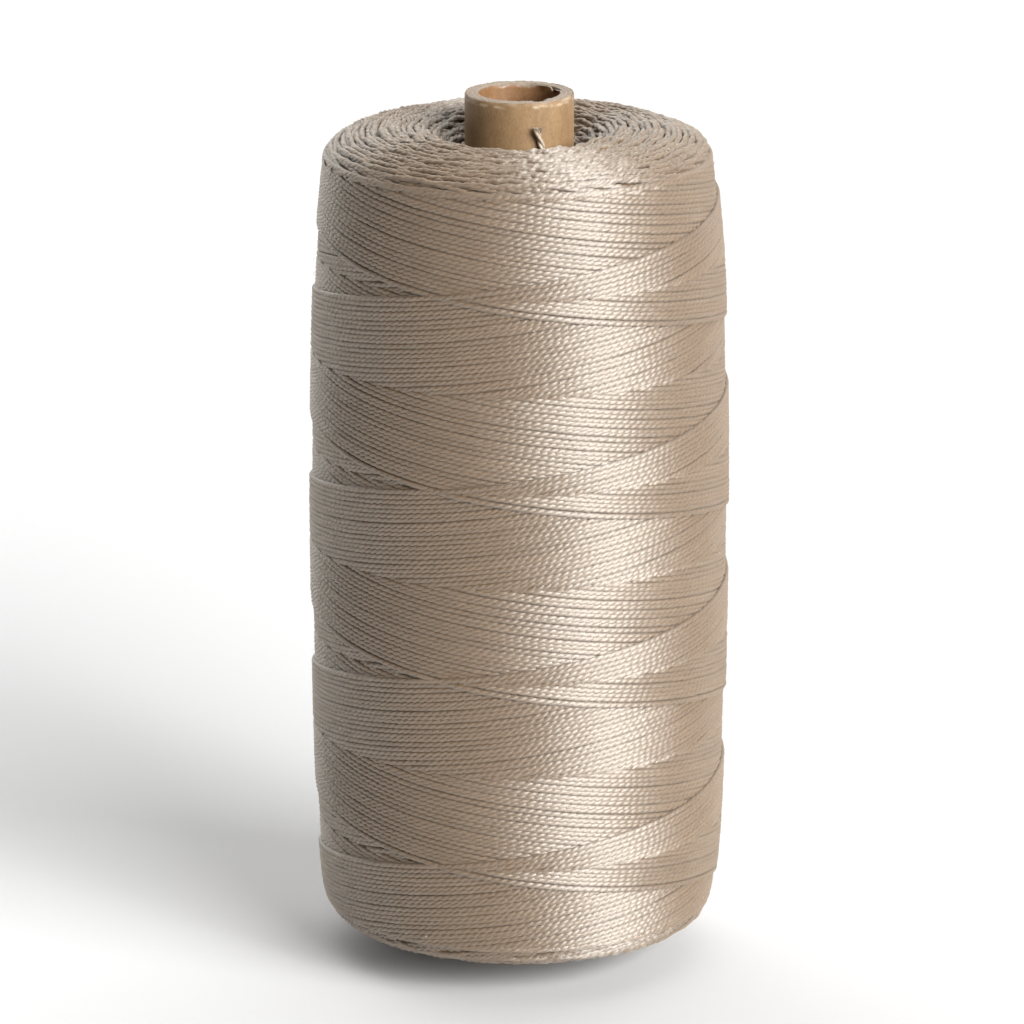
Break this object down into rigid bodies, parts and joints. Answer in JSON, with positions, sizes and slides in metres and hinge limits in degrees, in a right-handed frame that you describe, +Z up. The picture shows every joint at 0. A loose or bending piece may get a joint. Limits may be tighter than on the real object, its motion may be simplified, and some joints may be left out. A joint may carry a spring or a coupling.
{
  "type": "waxed thread spool",
  "caption": "Cross-wound flangeless package of waxed two-ply thread on a through-bored paper tube that stands out at both ends.",
  "frame": {"origin": "centre of the tube's lower rim, on which the spool stands", "axes": "+Z up along the tube, -Y towards the picture's camera, +X to the right"},
  "size_m": [0.0777, 0.0776, 0.164],
  "materials": {
    "waxed_thread": "waxed twisted thread with a soft silky lustre",
    "kraft_wrap": "smooth golden-tan kraft paper",
    "tube_board": "cut grey-brown laminated board",
    "liner_paper": "smooth orange-brown paper"
  },
  "bodies": {
    "root": {"tube_inner_liner": "liner_paper", "tube_ply_1": "tube_board", "tube_ply_2": "tube_board", "tube_ply_3": "tube_board", "tube_ply_4": "tube_board", "tube_outer_wrap": "kraft_wrap", "thread_package": "waxed_thread", "thread_outer_turns": "waxed_thread", "thread_start_tail": "waxed_thread"}
  },
  "joints": []
}
